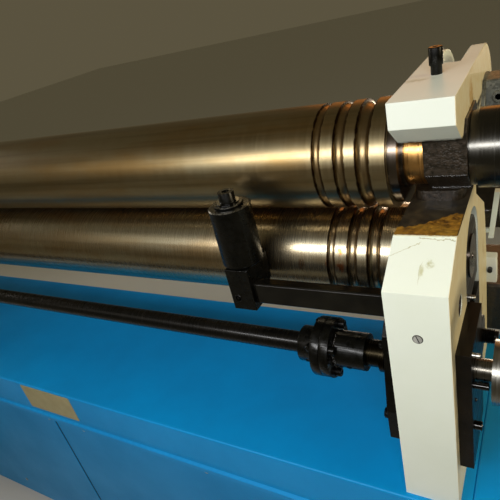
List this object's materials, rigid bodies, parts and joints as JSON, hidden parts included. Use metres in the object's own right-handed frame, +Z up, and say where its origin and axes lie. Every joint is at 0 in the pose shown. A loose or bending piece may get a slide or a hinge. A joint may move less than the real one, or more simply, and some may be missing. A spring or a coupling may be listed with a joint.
{
  "type": "plate rolling machine",
  "caption": "Floor-standing plate bending rolls: steel rolls between cream side housings on a blue base, with a hinged yoke at the drop end and an adjusting shaft with a handwheel.",
  "frame": {"origin": "on the floor, below the middle of the top roll and midway between the four anchor holes", "axes": "+X along the rolls towards the drop end, +Y to the back, +Z up"},
  "size_m": [1.9985, 0.62, 1.051],
  "materials": {
    "base_paint": "semi-gloss bright blue enamel",
    "cream_paint": "semi-gloss cream enamel over cast steel",
    "ground_steel": "ground and oiled, fine marks round the roll",
    "black_steel": "black oxide, oily",
    "turned_steel": "turned and oiled",
    "bronze": "turned bearing bronze",
    "zinc": "grey zinc plate",
    "black_plastic": "smooth",
    "white_plastic": "smooth"
  },
  "bodies": {
    "frame": {"deck": "base_paint", "base_cabinet": "base_paint", "pedestal_right": "base_paint", "pedestal_left": "base_paint", "floor_rail_right": "base_paint", "floor_rail_left": "base_paint", "floor_rail_end": "base_paint", "housing_right": "cream_paint", "housing_left": "cream_paint", "rear_guide_right": "cream_paint", "rear_guide_left": "cream_paint", "rear_roll": "ground_steel", "rear_block_right": "black_steel", "rear_block_left": "black_steel", "rear_gear_case": "black_steel", "rear_screw_right": "turned_steel", "rear_screw_left": "turned_steel", "rear_shaft": "turned_steel", "saddle": "black_steel", "shaft_bracket_right": "black_steel", "shaft_bracket_left": "black_steel", "jack_box_right": "black_steel", "jack_box_left": "black_steel", "drive_cabinet": "base_paint", "drive_cover": "base_paint", "cone_bar": "black_steel", "cone_post": "black_steel", "cone_pin": "black_steel", "stop_bar": "white_plastic", "switch_box": "white_plastic", "switch_plunger": "black_plastic"},
    "top_carrier": {"top_bearing_ball": "bronze", "top_bearing_block": "black_steel", "top_bush": "bronze"},
    "top_roll_set": {"top_roll": "ground_steel", "top_roll_collar": "black_steel"},
    "yoke_set": {"yoke": "cream_paint", "hinge_pin": "zinc", "pin_keeper": "zinc", "yoke_stud": "black_steel"},
    "lower_carrier": {"lower_block_right": "black_steel", "lower_block_left": "black_steel", "jack_screw_right": "turned_steel", "jack_screw_left": "turned_steel"},
    "lower_roll_set": {"lower_roll": "ground_steel"},
    "adjusting_shaft": {"adjust_shaft": "black_steel", "coupling_left": "black_steel", "coupling_right": "black_steel", "stub_shaft": "turned_steel", "handwheel": "turned_steel", "handwheel_knob": "black_plastic"},
    "guide_roller": {"cone_roller": "black_steel"}
  },
  "joints": [
    {"name": "yoke_swing", "type": "hinge", "parent": "frame", "child": "yoke_set", "pos_m": [0.739, 0.135, 0.938], "axis": [-1, 0, 0], "range_deg": [0, 100]},
    {"name": "top_roll_lift", "type": "hinge", "parent": "frame", "child": "top_carrier", "pos_m": [-0.739, 0, 0.95], "axis": [0, -1, 0], "range_deg": [0, 3]},
    {"name": "top_roll_spin", "type": "hinge", "parent": "top_carrier", "child": "top_roll_set", "pos_m": [0, 0, 0.95], "axis": [1, 0, 0], "continuous": true},
    {"name": "lower_roll_adjust", "type": "slide", "parent": "frame", "child": "lower_carrier", "axis": [0, 0, -1], "range_m": [-0.003, 0.008]},
    {"name": "lower_roll_spin", "type": "hinge", "parent": "lower_carrier", "child": "lower_roll_set", "pos_m": [0, -0.006, 0.82655], "axis": [1, 0, 0], "continuous": true},
    {"name": "adjusting_shaft_turn", "type": "hinge", "parent": "frame", "child": "adjusting_shaft", "pos_m": [0.739, -0.1176, 0.7624], "axis": [1, 0, 0], "continuous": true},
    {"name": "guide_roller_spin", "type": "hinge", "parent": "frame", "child": "guide_roller", "pos_m": [0.525, -0.095, 0.9], "axis": [0, 0, 1], "continuous": true}
  ],
  "couplings": [
    {"joint": "top_roll_lift", "follows": "yoke_swing", "ratio": 0.03},
    {"joint": "lower_roll_spin", "follows": "top_roll_spin", "ratio": -1}
  ]
}
